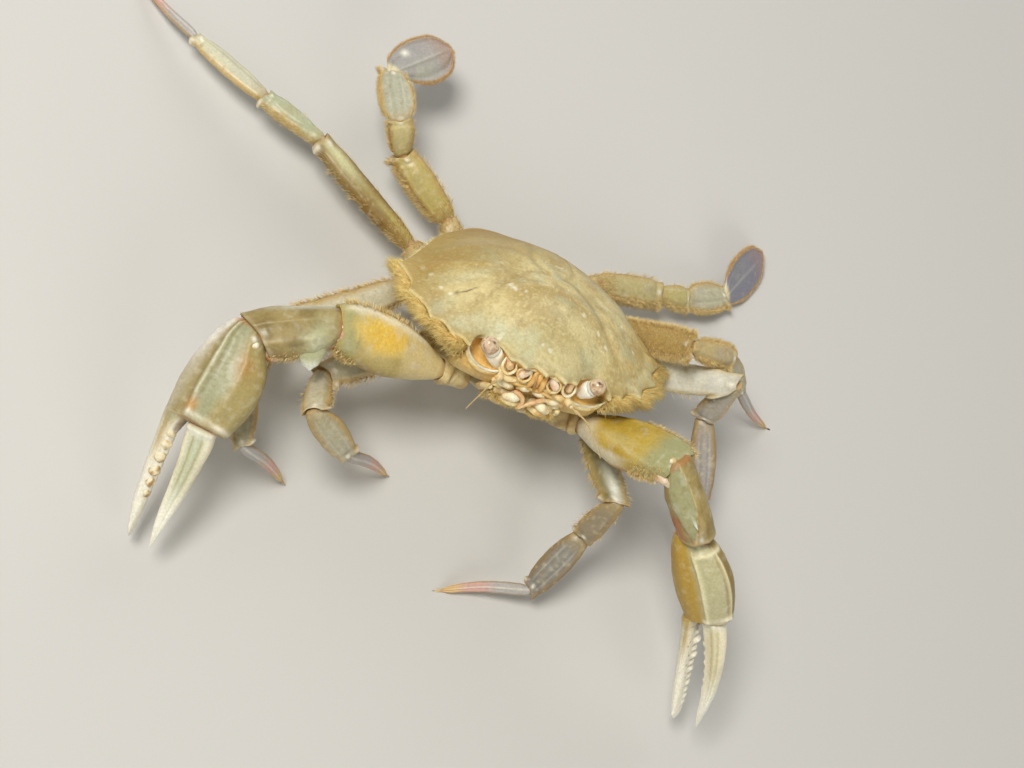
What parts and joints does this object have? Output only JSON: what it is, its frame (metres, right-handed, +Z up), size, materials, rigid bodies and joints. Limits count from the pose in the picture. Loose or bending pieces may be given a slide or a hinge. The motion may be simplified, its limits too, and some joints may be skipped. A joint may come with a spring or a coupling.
{
  "type": "vernal crab",
  "caption": "Life-size still model of a male vernal crab, front raised, claws forward and swimming paddles spread behind.",
  "frame": {"origin": "middle of the whole model's footprint, at the level it rests on", "axes": "+Z up, -Y the way the crab faces, +X to the crab's left"},
  "size_m": [0.1204, 0.0902, 0.0319],
  "materials": {
    "carapace": "matt, finely grained, beige and olive",
    "underside": "satin, cream",
    "claw": "satin, olive cream with white fingers",
    "leg": "satin, pale with lilac bands",
    "paddle": "glossy, lilac blue with a tan rim",
    "eye": "glossy, pinkish tan with dark specks",
    "mouthparts": "satin, orange brown"
  },
  "bodies": {
    "root": {"carapace": "carapace", "sternum": "underside", "abdomen": "underside", "eye_left": "eye", "antenna_left": "mouthparts", "maxilliped_left": "mouthparts", "cheliped_base_left": "underside", "cheliped_merus_left": "claw", "cheliped_carpus_left": "claw", "cheliped_propodus_left": "claw", "cheliped_dactylus_left": "claw", "leg2_base_left": "underside", "leg2_merus_left": "leg", "leg2_carpus_left": "leg", "leg2_propodus_left": "leg", "leg2_dactylus_left": "leg", "leg3_base_left": "underside", "leg3_merus_left": "leg", "leg3_carpus_left": "leg", "leg3_propodus_left": "leg", "leg3_dactylus_left": "leg", "leg4_base_left": "underside", "leg4_merus_left": "leg", "leg4_carpus_left": "leg", "leg4_propodus_left": "leg", "leg4_dactylus_left": "leg", "leg5_base_left": "underside", "leg5_merus_left": "leg", "leg5_carpus_left": "leg", "leg5_propodus_left": "leg", "leg5_dactylus_left": "paddle", "eye_right": "eye", "antenna_right": "mouthparts", "maxilliped_right": "mouthparts", "cheliped_base_right": "underside", "cheliped_merus_right": "claw", "cheliped_carpus_right": "claw", "cheliped_propodus_right": "claw", "cheliped_dactylus_right": "claw", "leg2_base_right": "underside", "leg2_merus_right": "leg", "leg2_carpus_right": "leg", "leg2_propodus_right": "leg", "leg2_dactylus_right": "leg", "leg3_base_right": "underside", "leg3_merus_right": "leg", "leg3_carpus_right": "leg", "leg3_propodus_right": "leg", "leg3_dactylus_right": "leg", "leg4_base_right": "underside", "leg4_merus_right": "leg", "leg4_carpus_right": "leg", "leg4_propodus_right": "leg", "leg4_dactylus_right": "leg", "leg5_base_right": "underside", "leg5_merus_right": "leg", "leg5_carpus_right": "leg", "leg5_propodus_right": "leg", "leg5_dactylus_right": "paddle"}
  },
  "joints": []
}
